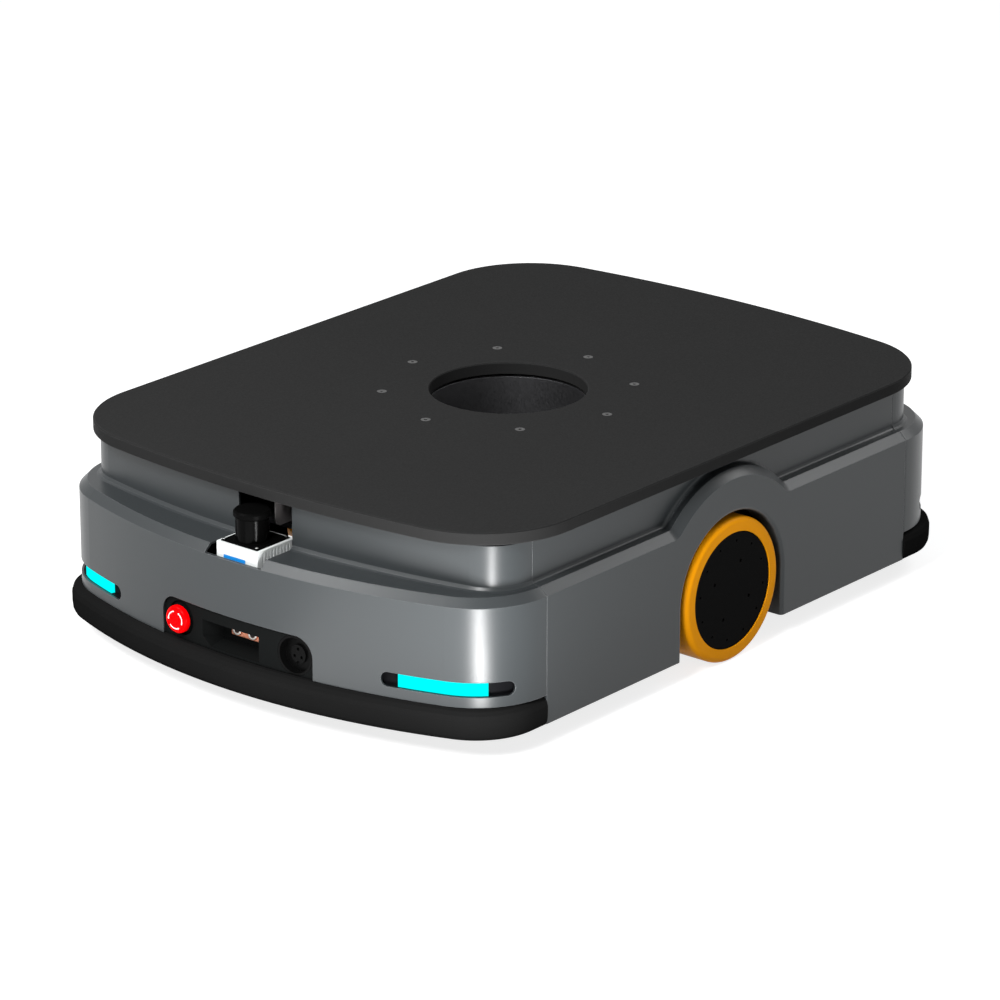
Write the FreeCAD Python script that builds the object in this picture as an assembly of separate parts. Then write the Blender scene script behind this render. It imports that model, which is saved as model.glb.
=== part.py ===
"""Low autonomous mobile robot: it drives under a trolley, lifts it on a plate and can turn the plate.

Frame: +X is forward, +Y left, +Z up. The origin is on the floor midway between the drive wheels.
Millimetres. Every function below makes one piece, or one set of like pieces, in its place.
"""
import FreeCAD, Part
import os
from math import acos, asin, atan2, cos, pi, radians, sin, sqrt, tan

V = FreeCAD.Vector

# ---- driving dimensions -------------------------------------------------------------------------
GAP = 0.3            # seated pieces that are not a fit
JOIN = 0.1           # plates tabbed together, and pieces screwed flat on each other
FIT = 0.05           # running fit, radial
SKIN = 3.0           # sheet thickness of the covers
SEAM_X = 348.0       # side covers meet end covers here
SEAM_GAP = 0.5

CORNERS = [(sx, sy) for sx in (1, -1) for sy in (1, -1)]   # front left, front right, rear left, rear right

# plan outlines: half length, half width, end arc radius, corner radius
LOWER = (495.5, 348.0, 850.0, 102.0)     # covers below the shoulder
UPPER = (440.0, 326.0, 1284.0, 55.0)     # covers above the shoulder
BUMPER = (508.3, 350.0, 827.0, 85.0)
BUMPER_DEPTH = 19.0
BEAM = (BUMPER_DEPTH + GAP, BUMPER_DEPTH + 4.0)   # steel strip behind it, as insets
PLATE = (455.3, 350.0, 1728.0, 126.5)

WHEEL_R = 90.0
WHEEL_Z = WHEEL_R
TYRE_WIDTH = 50.0
TYRE_Y = (LOWER[1] - TYRE_WIDTH, LOWER[1])
CORE_R = WHEEL_R - 17.0   # tyre's bore on the wheel core
CORE_Y = TYRE_Y[1] - 9.0  # core's outer face, under its cap
AXLE_R = 12.0

CHAMFER = 10.0            # 45 degree chamfer between face and ledge
COVE = 5.0                # fillet between ledge and upper wall
ARCH_R = WHEEL_R + 8.0    # wheel opening
LIP = 5.0                 # its rounded outer edge
FENDER_R = ARCH_R + 43.0  # raised fender, concentric with the wheel
FENDER_KINK = 20.0        # hollow fillet where the fender meets the straight shoulder
SILL_Z = 28.5             # lowest edge of side covers and bumpers
APRON_Z = 64.5            # lowest edge of the end covers
FACE_Z = WHEEL_Z + 95.0   # top of the upright face
SHOULDER_Z = FACE_Z + CHAMFER
COVER_TOP = WHEEL_Z + FENDER_R + CHAMFER + 9.0

FLOOR_Z = (30.0, 38.0)
DECK_Z = (COVER_TOP - 50.0, COVER_TOP - 44.0)
WALL = 4.0                # plates of the frame
END_X = 430.0             # inner face of the frame's end walls
CROSS_Y = 150.0           # cross walls leave the middle free for battery and controller

CASTER = (370.0, 260.0)
CASTER_R = 35.0
CASTER_W = 28.0
CASTER_PIN_R = 5.0
TRAIL = 25.0
SWEEP = sqrt((TRAIL + CASTER_R) ** 2 + (CASTER_W / 2) ** 2)
BAY_ROOM = 12.0
BAY = (CASTER[0] - SWEEP - BAY_ROOM, CASTER[1] - SWEEP - BAY_ROOM)  # inner corner of each caster bay
CROWN_Z = 2 * CASTER_R + 13.0
SHELF_Z = CROWN_Z + 24.3
STEM_R = 10.0

PIVOT = (132.0, WHEEL_Z - 20.0)      # suspension arm pin, x and z
ARM_WIDTH = 20.0
ARM_Y = (TYRE_Y[0] - 8.0 - ARM_WIDTH, TYRE_Y[0] - 8.0)
ARM_MID = (ARM_Y[0] + ARM_Y[1]) / 2
PIN_R = 7.0
MOTOR_R = 40.0
SPRING_X = -85.0
SPRING_Z = (WHEEL_Z + 6.0, WHEEL_Z + 60.0)
STUD_R = 8.0

MODULE = 4.0
BACKLASH = 0.35
LIFT_PINION_TEETH, SLEW_PINION_TEETH = 14, 14
COLUMN_BORE_R = 98.0      # sight line of the camera
COLUMN_WALL = 11.95
TUBE_WALL = 8.0           # lifting tube
NUT_WALL = 9.0            # least wall under the nut's teeth
RACE_OUT = 18.0           # from the tube to the ball race
RING_WALL = 27.0          # from the ball race to the roots of the outer ring's teeth
BALL_R = 5.0
COLUMN_R = (COLUMN_BORE_R, COLUMN_BORE_R + COLUMN_WALL)
TUBE_R = (COLUMN_R[1] + FIT, COLUMN_R[1] + FIT + TUBE_WALL)
RACE_R = TUBE_R[1] + RACE_OUT
LIFT_TEETH = 2 * round((TUBE_R[1] + NUT_WALL) / MODULE + 1.25)
SLEW_TEETH = 2 * round((RACE_R + RING_WALL) / MODULE + 1.25)
LIFT_CENTRE = MODULE * (LIFT_TEETH + LIFT_PINION_TEETH) / 2
SLEW_CENTRE = MODULE * (SLEW_TEETH + SLEW_PINION_TEETH) / 2
CUP_R = MODULE * (LIFT_TEETH / 2 + 1) + 2.0     # bore of the nut's housing
HOUSING_R = CUP_R + 8.0
ROD_R = 8.0
ROD_PITCH = (HOUSING_R + ROD_R + 22.8) / sqrt(2)
ROD_AT = [(sx * ROD_PITCH, sy * ROD_PITCH) for sx, sy in CORNERS]
SHAFT_R = 6.0

PLATE_Z = (COVER_TOP + 4.0, COVER_TOP + 19.0)
HOLE_R = COLUMN_BORE_R - 1.0
SCREW_PCD_R = RACE_R + 18.5
FLANGE_Z = (COVER_TOP - 32.0, COVER_TOP - 20.0)
SLEW_Z = (FLANGE_Z[1] + 2.0, PLATE_Z[0])
RACE_Z = FLANGE_Z[1] + 11.0
NUT_Z = (92.0, 128.0)
LIFT_MOTOR_Z = NUT_Z[1] + 13.0
LIFT_MOTOR_R = 34.0
SLEW_MOTOR_R = 26.0

PANEL_Y = (-123.0, 114.5)
PANEL_TOP = 115.2
ESTOP = (-92.0, 91.0)      # y, z of its axis
DISH_X = 483.0             # floor of the dish behind the stop button
HEAD_X = DISH_X + 7.0      # underside of its head
HEAD_R = 17.0
SOCKET = (87.0, 89.0)
SOCKET_R = 21.7
SOCKET_X = (468.0, 479.0)  # back and floor of its cup
FUNNEL_X = 465.0           # inner end of the charging funnel
FUNNEL_Y = (-57.5, 36.0)   # its mouth
FUNNEL_Z = (67.2, 100.0)
FUNNEL_DRAW = (10.8, 4.5)  # each wall draws in by this much towards the inner end
FUNNEL_CLIPS = ((2.5, 2.8), (15.7, 13.3))  # clipped lower corner at the inner end and at the mouth
CONTACT_X = 452.0
CONTACT = (-10.5, 87.0)    # y, z of the copper block's middle
CONTACT_BLOCK = (22.0, 8.3)    # half width and half height of the copper block
CONTACT_Y = 12.3               # contacts lie this far each side of its middle
SCANNER = (456.0, -1.0)    # centre of the scanner's base
SCANNER_HALF = 32.25
SCAN_HEAD_X = SCANNER[0] + 5.0
SCAN_Z = (SHOULDER_Z - 19.0, SHOULDER_Z + 6.7)    # its white base
SCAN_CAP_Z = SCAN_Z[1] + 30.4
SCAN_WINDOW_R = 19.75
TRAY_Z = SCAN_Z[0] - 6.0   # underside of the scanner's tray
SIGHT_Z = SHOULDER_Z - 13.0   # lower edge of the opening that the scanner looks through
SPINDLE_R = 4.0
LIGHT_Z = (77.0, 95.0)     # corner light slots
LIGHT_Y = {1: 212.0, -1: 216.4}   # slots' inner ends, left-handed and right-handed
LIGHT_TURN = radians(61.0)        # their outer ends, round the corner
BAR_ENDS = {1: (-11.0, -22.6), -1: (-20.2, -46.0)}   # lit bars stop short of their slots


# ---- helpers ------------------------------------------------------------------------------------
def box(x0, x1, y0, y1, z0, z1):
    """Box between the given faces."""
    return Part.makeBox(x1 - x0, y1 - y0, z1 - z0, V(x0, y0, z0))


def disc(r, z0, z1, x=0.0, y=0.0):
    """Upright cylinder."""
    return Part.makeCylinder(r, z1 - z0, V(x, y, z0))


def tube(r_in, r_out, z0, z1, x=0.0, y=0.0):
    """Upright tube."""
    return disc(r_out, z0, z1, x, y).cut(disc(r_in, z0, z1, x, y))


def rod_x(r, x0, x1, y, z):
    """Cylinder along X."""
    return Part.makeCylinder(r, x1 - x0, V(x0, y, z), V(1, 0, 0))


def rod_y(r, y0, y1, x, z):
    """Cylinder along Y."""
    return Part.makeCylinder(r, abs(y1 - y0), V(x, min(y0, y1), z), V(0, 1, 0))


def fuse(shapes):
    """One body of several that touch."""
    return shapes[0].multiFuse(shapes[1:]).removeSplitter() if len(shapes) > 1 else shapes[0]


def mirror_y(shape):
    """The same piece on the other side of the robot."""
    return shape.mirror(V(0, 0, 0), V(0, 1, 0))


def polygon(points, z):
    """Closed flat outline at height z."""
    return Part.makePolygon([V(x, y, z) for x, y in points] + [V(points[0][0], points[0][1], z)])


def prism(points, z0, z1):
    """Upright prism from (x, y) points."""
    return Part.Face(polygon(points, z0)).extrude(V(0, 0, z1 - z0))


def prism_x(points, x0, x1):
    """Prism along X from (y, z) points."""
    wire = Part.makePolygon([V(x0, y, z) for y, z in points] + [V(x0, points[0][0], points[0][1])])
    return Part.Face(wire).extrude(V(x1 - x0, 0, 0))


def prism_y(points, y0, y1):
    """Prism along Y from (x, z) points."""
    wire = Part.makePolygon([V(x, y0, z) for x, z in points] + [V(points[0][0], y0, points[0][1])])
    return Part.Face(wire).extrude(V(0, y1 - y0, 0))


def save(name, shapes):
    """Write one node: a single solid, or a compound of like solids."""
    solids = [s for shape in (shapes if isinstance(shapes, list) else [shapes]) for s in shape.Solids]
    for s in solids:
        if not s.isValid():
            print("invalid solid in", name)
    out = solids[0] if len(solids) == 1 else Part.makeCompound(solids)
    out.exportStep("parts/%s.step" % name)


# ---- plan outlines ------------------------------------------------------------------------------
def corner(outline, inset):
    """Centre of the corner arc and the angle where it leaves the end arc."""
    length, width, end_r, corner_r = [v - inset for v in outline]
    cy = width - corner_r
    cx = length - end_r + sqrt((end_r - corner_r) ** 2 - cy ** 2)
    return cx, cy, corner_r, atan2(cy, cx - (length - end_r))


def plan_wire(outline, inset, z):
    """Closed outline: two straight sides, two wide end arcs and four corner arcs."""
    length, width, end_r, _ = [v - inset for v in outline]
    cx, cy, r, a = corner(outline, inset)
    edges = []
    for sx in (1, -1):
        ex = sx * (length - end_r)
        tip = V(sx * length, 0, z)
        lo = V(ex + sx * end_r * cos(a), -sx * end_r * sin(a), z)
        hi = V(ex + sx * end_r * cos(a), sx * end_r * sin(a), z)
        mid = (a + pi / 2) / 2
        for sy, first, last in ((-sx, None, lo), (sx, hi, None)):
            side = V(sx * cx, sy * width, z)
            m = V(sx * (cx + r * cos(mid)), sy * (cy + r * sin(mid)), z)
            if first is None:
                edges.append(Part.Arc(side, m, last).toShape())
                edges.append(Part.Arc(lo, tip, hi).toShape())
            else:
                edges.append(Part.Arc(first, m, side).toShape())
        edges.append(Part.makeLine(V(sx * cx, sx * width, z), V(-sx * cx, sx * width, z)))
    return Part.Wire(edges)


def plan_prism(outline, inset, z0, z1):
    """Upright body within an outline shrunk by inset."""
    return Part.Face(plan_wire(outline, inset, z0)).extrude(V(0, 0, z1 - z0))


def plan_loft(outline, levels):
    """Body through the outline at several heights, each (z, inset)."""
    parts = [Part.makeLoft([plan_wire(outline, i0, z0), plan_wire(outline, i1, z1)], True, True)
             for (z0, i0), (z1, i1) in zip(levels, levels[1:])]
    return fuse(parts)


def plan_ring(outline, inset0, inset1, z0, z1):
    """Upright wall between two insets of an outline."""
    return plan_prism(outline, inset0, z0, z1).cut(plan_prism(outline, inset1, z0 - 1, z1 + 1))


def outline_x(outline, inset, y):
    """How far forward the end arc reaches at y."""
    length, _, end_r, _ = [v - inset for v in outline]
    return length - end_r + sqrt(end_r ** 2 - y ** 2)


# ---- covers -------------------------------------------------------------------------------------
def end_body(inset):
    """End cover's outer form shrunk by inset: face, chamfer, ledge, coved upper wall."""
    low = APRON_Z - (5 if inset else 0)
    face = plan_loft(LOWER, [(low, inset), (FACE_Z - 0.4 * inset, inset),
                             (SHOULDER_Z - inset, inset + CHAMFER)])
    ledge = SHOULDER_Z - inset
    upper = plan_loft(UPPER, [(ledge - 2, inset - COVE), (ledge, inset - COVE),
                              (ledge + 0.3 * COVE, inset - 0.45 * COVE),
                              (ledge + COVE, inset), (COVER_TOP + (1 if inset else 0), inset)])
    return face.fuse(upper)


def end_cover(sx):
    """Pressed end cover, open below and above, wrapping both corners to the side seams."""
    shell = end_body(0).cut(end_body(SKIN))
    keep = box(SEAM_X + SEAM_GAP / 2, 600, -400, 400, 0, 300)
    if sx < 0:
        keep = box(-600, -SEAM_X - SEAM_GAP / 2, -400, 400, 0, 300)
    shell = shell.common(keep)
    for sy in (1, -1):
        shell = shell.cut(light_slot(sx, sy))
    return shell


def light_end(hand, more0, more1):
    """Points and outward directions where a corner light starts on the end arc and stops on the corner."""
    y = LIGHT_Y[hand] - more0
    start = V(outline_x(LOWER, 0, y), y, 0)
    start_n = V(cos(asin(y / LOWER[2])), y / LOWER[2], 0)
    cx, cy, r, _ = corner(LOWER, 0)
    turn = LIGHT_TURN + more1 / r
    end_n = V(cos(turn), sin(turn), 0)
    return start, start_n, V(cx, cy, 0) + end_n * r, end_n


def quadrant(shape, sx, sy):
    """Carry a piece made at the front left corner to another corner."""
    if sx < 0:
        shape = shape.mirror(V(0, 0, 0), V(1, 0, 0))
    if sy < 0:
        shape = shape.mirror(V(0, 0, 0), V(0, 1, 0))
    return shape


def light_wedge(hand, more0, more1):
    """Upright wedge of the corner between a light's two ends, each moved outwards."""
    start, sn, end, en = light_end(hand, more0, more1)
    pts = [start - sn * 25, start + sn * 20, V(LOWER[0] + 20, 330, 0), end + en * 20, end - en * 25]
    return prism([(p.x, p.y) for p in pts], 0, 200)


def light_slot(sx, sy):
    """Round-ended slot through the cover's corner."""
    hand = sx * sy
    h = (LIGHT_Z[1] - LIGHT_Z[0]) / 2
    middle = V(0, 0, LIGHT_Z[0] + h)
    cut = plan_ring(LOWER, -3, 3 * SKIN, *LIGHT_Z).common(light_wedge(hand, 0, 0))
    start, sn, end, en = light_end(hand, 0, 0)
    ends = [Part.makeCylinder(h, 20, p - n * 12 + middle, n) for p, n in ((start, sn), (end, en))]
    return quadrant(fuse([cut] + ends), sx, sy)


def light_housings():
    """Four black channels behind the corner slots."""
    out = []
    for sx, sy in CORNERS:
        body = plan_ring(LOWER, SKIN + GAP, 11.5, LIGHT_Z[0] - 4, LIGHT_Z[1] + 4)
        pocket = plan_ring(LOWER, SKIN, 9.5, *LIGHT_Z).common(light_wedge(sx * sy, 10, 10))
        out.append(quadrant(body.common(light_wedge(sx * sy, 14, 14)).cut(pocket), sx, sy))
    return out


def light_bars():
    """Four lit diffusers, shorter than their slots."""
    out = []
    for sx, sy in CORNERS:
        bar = plan_ring(LOWER, SKIN + 1.2, 9.2, LIGHT_Z[0] + GAP, LIGHT_Z[1] - GAP)
        out.append(quadrant(bar.common(light_wedge(sx * sy, *BAR_ENDS[sx * sy])), sx, sy))
    return out


def panel_opening():
    """The cut-out for the control panel, open below, with two round upper corners."""
    y0, y1 = PANEL_Y
    r0, r1 = 22.0, 25.0
    top = PANEL_TOP
    middle = prism_x([(y0, 50), (y0, top - r0), (y0 + r0, top), (y1 - r1, top), (y1, top - r1), (y1, 50)],
                     440, 520)
    return fuse([middle, rod_x(r0, 440, 520, y0 + r0, top - r0), rod_x(r1, 440, 520, y1 - r1, top - r1)])


def front_cover():
    """Front cover with the control panel cut-out, the scanner notch and its sight opening."""
    x, y = SCANNER
    notch = box(x - 60, 520, y - 46, y + 42.5, FACE_Z, SHOULDER_Z + 1)
    sight = box(x - 56, x + 14, y - 41, y + 42.5, SIGHT_Z, 300)
    return end_cover(1).cut(panel_opening()).cut(notch).cut(sight)


def rear_cover():
    """Plain rear cover."""
    return end_cover(-1)


def fender_wire(top, big, kink, y, floor, half):
    """Side cover's edge at y: straight shoulder at top, hollow kink, fender arc of radius big."""
    kz = top + kink
    kx = sqrt((big + kink) ** 2 - (kz - WHEEL_Z) ** 2)
    a = atan2(kz - WHEEL_Z, kx)
    touch = (big * cos(a), WHEEL_Z + big * sin(a))
    mid = (a - pi - pi / 2) / 2
    bend = (kx + kink * cos(mid), kz + kink * sin(mid))
    p = lambda x, z: V(x, y, z)
    edges = [Part.makeLine(p(-half, floor), p(half, floor)), Part.makeLine(p(half, floor), p(half, top)),
             Part.makeLine(p(half, top), p(kx, top)),
             Part.Arc(p(kx, top), p(*bend), p(*touch)).toShape(),
             Part.Arc(p(*touch), p(0, WHEEL_Z + big), p(-touch[0], touch[1])).toShape(),
             Part.Arc(p(-touch[0], touch[1]), p(-bend[0], bend[1]), p(-kx, top)).toShape(),
             Part.makeLine(p(-kx, top), p(-half, top)), Part.makeLine(p(-half, top), p(-half, floor))]
    return Part.Wire(edges)


def side_body(inset, sill, half, chamfer):
    """Side cover's outer form shrunk by inset: face with fender and chamfer, under the upper wall."""
    y_face = LOWER[1] - inset
    rise = SHOULDER_Z - FACE_Z - inset
    wire = fender_wire(FACE_Z + rise, FENDER_R + rise, FENDER_KINK - rise, 240, sill, half)
    slab = Part.Face(wire).extrude(V(0, y_face - 240, 0))
    top = [e for e in slab.Edges if e.BoundBox.YMin > y_face - 0.01 and e.BoundBox.ZMin > 150]
    slab = slab.makeChamfer(chamfer, top)
    return slab.fuse(box(-half, half, 240, UPPER[1] - inset, sill, COVER_TOP + (1 if inset else 0)))


def arch(r, y0, y1, grow=0.0):
    """Wheel opening: a half round over upright sides."""
    half = r + grow
    return fuse([rod_y(half, y0, y1, 0, WHEEL_Z), box(-half, half, y0, y1, -10, WHEEL_Z)])


def side_cover():
    """Left side cover: pressed skin with the fender and the wheel opening's inward flange."""
    half = SEAM_X - SEAM_GAP / 2
    outer = side_body(0, SILL_Z, half, CHAMFER)
    root = [e for e in outer.Edges if abs(e.BoundBox.YMin - UPPER[1]) < 0.01
            and abs(e.BoundBox.YMax - UPPER[1]) < 0.01 and 150 < e.BoundBox.ZMin
            and e.BoundBox.ZMax < COVER_TOP - 1 and e.BoundBox.XLength > 1]
    outer = outer.makeFillet(COVE, root)
    inner = side_body(SKIN, SILL_Z - 5, half + 5, CHAMFER - 0.586 * SKIN)
    shell = outer.cut(inner)
    rim = LIP + 1.0
    wide, top = ARCH_R + 52, WHEEL_Z + ARCH_R + 52
    flange = arch(ARCH_R, UPPER[1] - SKIN - 1, LOWER[1], rim - 2)
    flange = flange.common(box(-wide, wide, 200, LOWER[1], SILL_Z, top))
    block = box(-wide, wide, 200, LOWER[1], SILL_Z - 20, top).cut(arch(ARCH_R, 199, 400))
    lip = [e for e in block.Edges if e.BoundBox.YMin > LOWER[1] - 0.01
           and abs(e.BoundBox.XMax) < ARCH_R + 1 and abs(e.BoundBox.XMin) < ARCH_R + 1
           and e.BoundBox.ZLength > 20]
    opening = box(1 - wide, wide - 1, 201, LOWER[1] + 1, SILL_Z - 19, top - 1)
    opening = opening.cut(block.makeFillet(LIP, lip))
    return shell.fuse(flange).cut(opening).removeSplitter()


def bumper(sx):
    """Moulded rubber bumper round one end, bulging in the middle."""
    levels = [(SILL_Z, 3), (33, 0.8), (38, 0.2), (42, 0), (52, 0), (58, 2), (62, 6.5), (64.1, 11)]
    body = plan_loft(BUMPER, levels).cut(plan_prism(BUMPER, BUMPER_DEPTH, 0, 100))
    keep = box(SEAM_X + SEAM_GAP / 2, 600, -400, 400, 0, 300)
    body = body.common(keep)
    return body if sx > 0 else body.mirror(V(0, 0, 0), V(1, 0, 0))


def bumper_beams():
    """Steel strips behind the bumpers, screwed to the floor's ends and clear of the casters."""
    reach = CASTER[1] - 20
    beam = plan_ring(BUMPER, *BEAM, FLOOR_Z[0], APRON_Z - 0.5)
    beam = beam.common(box(SEAM_X, 600, -reach, reach, 0, 300))
    z0 = FLOOR_Z[1] + JOIN
    foot = box(440, 500, -150, 150, z0, z0 + WALL).common(plan_prism(BUMPER, BEAM[0] + 2, 0, 100))
    beam = beam.fuse(foot)
    return [beam, beam.mirror(V(0, 0, 0), V(1, 0, 0))]


# ---- chassis ------------------------------------------------------------------------------------
def chassis_floor():
    """Floor plate with notches for the drive wheels and open bays for the casters."""
    z0, z1 = FLOOR_Z
    half = LOWER[1] - SKIN - GAP
    mid = box(-BAY[0], BAY[0], -half, half, z0, z1)
    spine = plan_prism(BUMPER, BEAM[1] + GAP, z0, z1).common(box(-600, 600, -BAY[1], BAY[1], 0, 100))
    plate = mid.fuse(spine).removeSplitter()
    for sy in (1, -1):
        y0, y1 = sorted((sy * (ARM_Y[0] - 6), sy * 400))
        plate = plate.cut(box(-WHEEL_R - 18, WHEEL_R + 18, y0, y1, 0, 100))
    return plate


def frame_plates():
    """Laser-cut walls and caster shelves, tabbed edge to edge on the floor."""
    z0, z1 = FLOOR_Z[1] + JOIN, DECK_Z[0] - JOIN
    side_y = UPPER[1] - SKIN - 1
    inside = plan_prism(LOWER, SKIN + 1, 0, FACE_Z)
    plates = []
    for sx in (1, -1):
        for sy in (1, -1):
            cross = box(BAY[0] - WALL, BAY[0], CROSS_Y, side_y, z0, z1)
            side = box(BAY[0] + JOIN, END_X - JOIN, BAY[1] - WALL, BAY[1], z0, SHOULDER_Z - 5)
            shelf = box(BAY[0] + JOIN, END_X + WALL, BAY[1] + JOIN, side_y, SHELF_Z, SHELF_Z + 6)
            stem_hole = disc(STEM_R + FIT, SHELF_Z - 1, SHELF_Z + 7, *CASTER)
            plates += [quadrant(q, sx, sy) for q in (cross, side, shelf.common(inside).cut(stem_hole))]
        end = box(END_X, END_X + WALL, -BAY[1], BAY[1], z0, TRAY_Z - GAP)
        plates.append(quadrant(end, sx, 1))
    return plates


def spring_towers():
    """Posts under the deck that hold the upper ends of the suspension springs."""
    out = []
    for sy in (1, -1):
        y = sy * ARM_MID
        post = box(SPRING_X - 18, SPRING_X + 18, y - 15, y + 15, SPRING_Z[1], DECK_Z[0] - JOIN)
        out.append(post.fuse(disc(STUD_R, SPRING_Z[1] - 8, SPRING_Z[1] + 2, SPRING_X, y)))
    return out


def top_deck():
    """Steel deck: guides the carriage rods and lets the tube and slewing motor through."""
    z0, z1 = DECK_Z
    deck = plan_prism(UPPER, SKIN + GAP, z0, z1)
    deck = deck.cut(disc(TUBE_R[1] + 6, z0 - 1, z1 + 1))
    deck = deck.cut(disc(SLEW_MOTOR_R + 4, z0 - 1, z1 + 1, -SLEW_CENTRE, 0))
    deck = deck.cut(box(400, 500, -60, 60, 0, 300))
    for x, y in ROD_AT:
        deck = deck.cut(disc(ROD_R + FIT, z0 - 1, z1 + 1, x, y))
    return deck


def battery_pack():
    """Battery case with two carrying handles."""
    x0, x1 = -END_X + 2, -SLEW_CENTRE - SLEW_MOTOR_R - 16
    top = DECK_Z[0] - 22
    case = box(x0, x1, -CROSS_Y, CROSS_Y, FLOOR_Z[1] + GAP, top)
    case = case.makeFillet(8, [e for e in case.Edges if e.BoundBox.ZLength > 50])
    mid = (x0 + x1) / 2
    handles = [box(mid - 27, mid + 27, y - 4, y + 4, top, top + 12) for y in (-100, 100)]
    return fuse([case] + handles)


def controller_box():
    """Finned aluminium housing of the vehicle controller and the motor drives."""
    x0, x1 = LIFT_CENTRE + LIFT_MOTOR_R + 21, END_X - 25
    top = FLOOR_Z[1] + 58
    case = box(x0, x1, -120, 150, FLOOR_Z[1] + GAP, top)
    fins = [box(x0 + 10, x1 - 10, y - 2, y + 2, top, top + 12) for y in range(-105, 140, 24)]
    return fuse([case] + fins)


# ---- gears --------------------------------------------------------------------------------------
def involute_flank(base_r, r):
    """Angle by which an involute has turned away from its start at radius r."""
    a = acos(min(1.0, base_r / r))
    return tan(a) - a


def gear_wire(teeth, z, phase):
    """Outline of an external spur gear with involute flanks, tooth 0 centred on phase."""
    pitch = MODULE * teeth / 2
    tip, root = pitch + MODULE, pitch - 1.25 * MODULE
    base = pitch * cos(radians(20))
    half_pitch = (pi / 2 * MODULE - BACKLASH) / MODULE / teeth
    start = max(base, root)
    radii = [start, (start + tip) / 2, tip]
    pts = []
    for k in range(teeth):
        mid = phase + 2 * pi * k / teeth
        flank = [(r, half_pitch + involute_flank(base, pitch) - involute_flank(base, r)) for r in radii]
        if root < base:
            flank = [(root, flank[0][1])] + flank
        for r, a in flank:
            pts.append((r, mid - a))
        for r, a in reversed(flank):
            pts.append((r, mid + a))
    return Part.makePolygon([V(r * cos(a), r * sin(a), z) for r, a in pts + pts[:1]])


def gear(teeth, z0, z1, phase=0.0):
    """Spur gear about the Z axis, without a bore."""
    return Part.Face(gear_wire(teeth, z0, phase)).extrude(V(0, 0, z1 - z0))


def pinion(teeth, z0, z1, x, shaft_r, shaft_z):
    """Pinion on its shaft, turned so that a gap faces the wheel's tooth 0."""
    towards = 0.0 if x < 0 else pi
    body = gear(teeth, z0, z1, towards + pi / teeth)
    body.translate(V(x, 0, 0))
    return body.fuse(disc(shaft_r, shaft_z[0], shaft_z[1], x, 0)).removeSplitter()


# ---- lifting column -----------------------------------------------------------------------------
def guide_column():
    """Fixed tube that guides the lift and leaves a clear sight line for the camera, and its foot ring."""
    foot = tube(COLUMN_R[1] + FIT, COLUMN_R[1] + 9, FLOOR_Z[1], FLOOR_Z[1] + 8)
    return [tube(*COLUMN_R, FLOOR_Z[1], COVER_TOP), foot]


def nut_housing():
    """Bearing cup for the lift nut, with a side opening for its pinion, and the cup's screwed lid."""
    inner = TUBE_R[1] + 3
    pinion_r = MODULE * (LIFT_PINION_TEETH / 2 + 1) + 1.5
    cup = tube(inner, HOUSING_R, FLOOR_Z[1], NUT_Z[1] + GAP).cut(disc(CUP_R, NUT_Z[0] - GAP, NUT_Z[1] + 1))
    cup = cup.cut(disc(pinion_r, NUT_Z[0] - 8, NUT_Z[1] + 1, LIFT_CENTRE, 0))
    lid = tube(inner, HOUSING_R, NUT_Z[1] + GAP + JOIN, NUT_Z[1] + 6)
    return [cup, lid]


def lift_nut():
    """Nut ring with external teeth; its thread raises the tube."""
    return gear(LIFT_TEETH, NUT_Z[0], NUT_Z[1]).cut(disc(TUBE_R[1] + FIT, 0, 300))


def lift_pinion():
    """Pinion that drives the nut's teeth, on its motor's shaft."""
    shaft_z = (NUT_Z[0] + 1, LIFT_MOTOR_Z + 14)
    return pinion(LIFT_PINION_TEETH, NUT_Z[0] + 1, NUT_Z[1] - 1, LIFT_CENTRE, SHAFT_R, shaft_z)


def lift_motor():
    """Flat gearmotor hanging from the deck, shaft down."""
    r, top = LIFT_MOTOR_R, DECK_Z[0] - JOIN
    body = disc(r, LIFT_MOTOR_Z, top, LIFT_CENTRE, 0)
    flange = box(LIFT_CENTRE - r, LIFT_CENTRE + r, -r, r, top - 10, top)
    bore = disc(SHAFT_R + FIT, LIFT_MOTOR_Z - 1, LIFT_MOTOR_Z + 15, LIFT_CENTRE, 0)
    return body.fuse(flange).cut(bore).removeSplitter()


def lift_carriage():
    """Lifting tube, its flange with the slewing motor's lobe, and four guide rods."""
    flange_r = ROD_PITCH * sqrt(2) + ROD_R + 3.2
    parts = [disc(TUBE_R[1], 70, FLANGE_Z[0] + 1), disc(flange_r, *FLANGE_Z),
             disc(SLEW_MOTOR_R + 12, *FLANGE_Z, -SLEW_CENTRE, 0)]
    parts += [disc(ROD_R, 112, FLANGE_Z[0] + 1, x, y) for x, y in ROD_AT]
    body = fuse(parts)
    return body.cut(disc(SHAFT_R + 3, 0, 300, -SLEW_CENTRE, 0)).cut(disc(TUBE_R[0], 60, 300))


def slew_ring_inner():
    """Inner bearing ring, screwed down on the carriage flange."""
    ring = tube(TUBE_R[0] + 2, RACE_R - 0.6, FLANGE_Z[1], SLEW_Z[1] - 4)
    return ring.cut(Part.makeTorus(RACE_R, BALL_R + FIT, V(0, 0, RACE_Z)))


def slew_ring_balls():
    """Row of balls between the two rings, as one closed bead."""
    return Part.makeTorus(RACE_R, BALL_R, V(0, 0, RACE_Z))


def slew_ring_outer():
    """Outer bearing ring with gear teeth, screwed under the load plate."""
    ring = gear(SLEW_TEETH, *SLEW_Z).cut(disc(RACE_R + 0.6, 0, 300))
    return ring.cut(Part.makeTorus(RACE_R, BALL_R + FIT, V(0, 0, RACE_Z)))


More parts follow.
